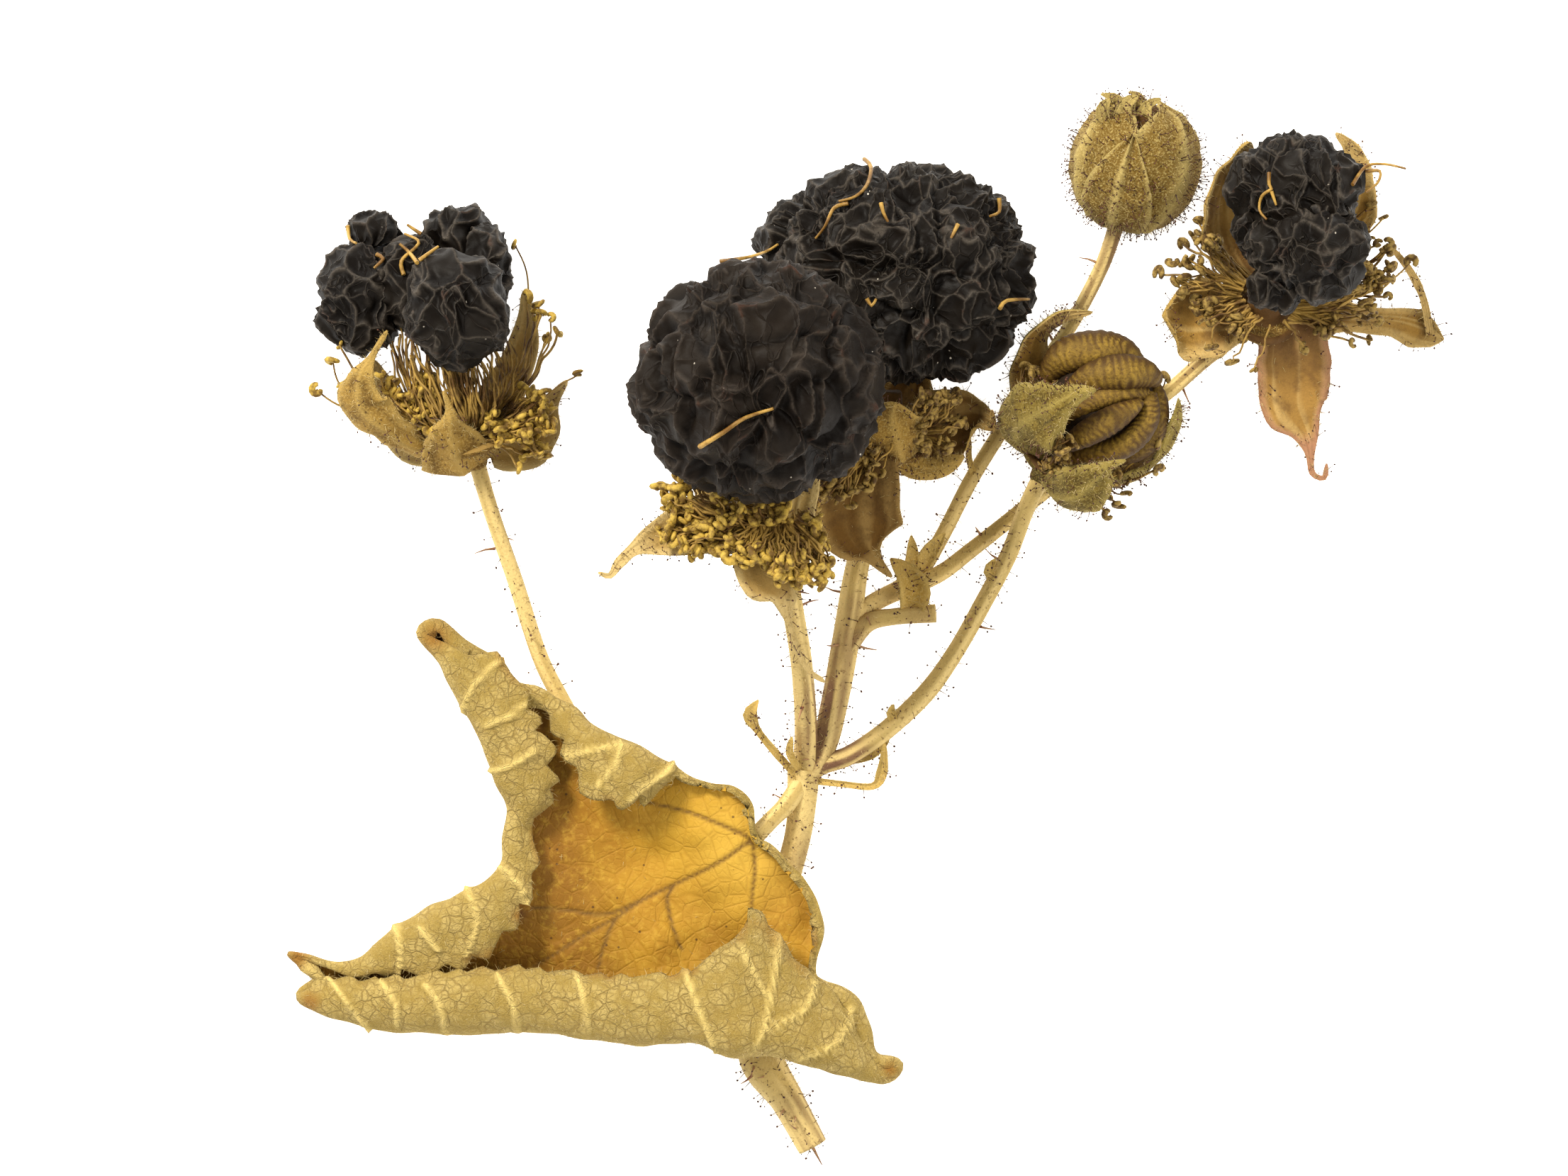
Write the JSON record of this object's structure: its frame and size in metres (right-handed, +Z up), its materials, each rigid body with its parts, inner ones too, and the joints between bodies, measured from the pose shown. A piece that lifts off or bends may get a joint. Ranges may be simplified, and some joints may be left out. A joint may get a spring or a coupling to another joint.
{
  "type": "dried dewberry fruiting sprig",
  "caption": "Cut sprig of dewberry lying flat, dried: a prickly cane with a rolled leaf, shrivelled black berries in their calyces and flower buds.",
  "frame": {"origin": "middle of the sprig's box on the surface that it lies on", "axes": "+X from the tip of the leaf towards the berry on the right, the longest way; +Y from the cut end of the cane towards the berries; +Z up from the surface"},
  "size_m": [0.0502, 0.0456, 0.0178],
  "materials": {
    "straw_stem": "dry straw-coloured stem with purplish-brown patches",
    "ochre_leaf": "matte felted leaf, ochre inside with dark veins, olive outside with pale veins",
    "felted_sepal": "matte olive-straw felt with dark gland dots",
    "browned_petal": "dry golden-brown petal with darker grooves",
    "dried_berry": "matte leathery black with a grey sheen on its ridges"
  },
  "bodies": {
    "root": {"cane": "straw_stem", "leaf": "ochre_leaf", "closed_bud": "felted_sepal", "front_calyx": "felted_sepal", "front_berry": "dried_berry", "back_calyx": "felted_sepal", "back_berry": "dried_berry", "left_calyx": "felted_sepal", "left_berry": "dried_berry", "right_calyx": "felted_sepal", "right_berry": "dried_berry", "petal_bud_calyx": "felted_sepal", "petal_bud_petals": "browned_petal"}
  },
  "joints": []
}
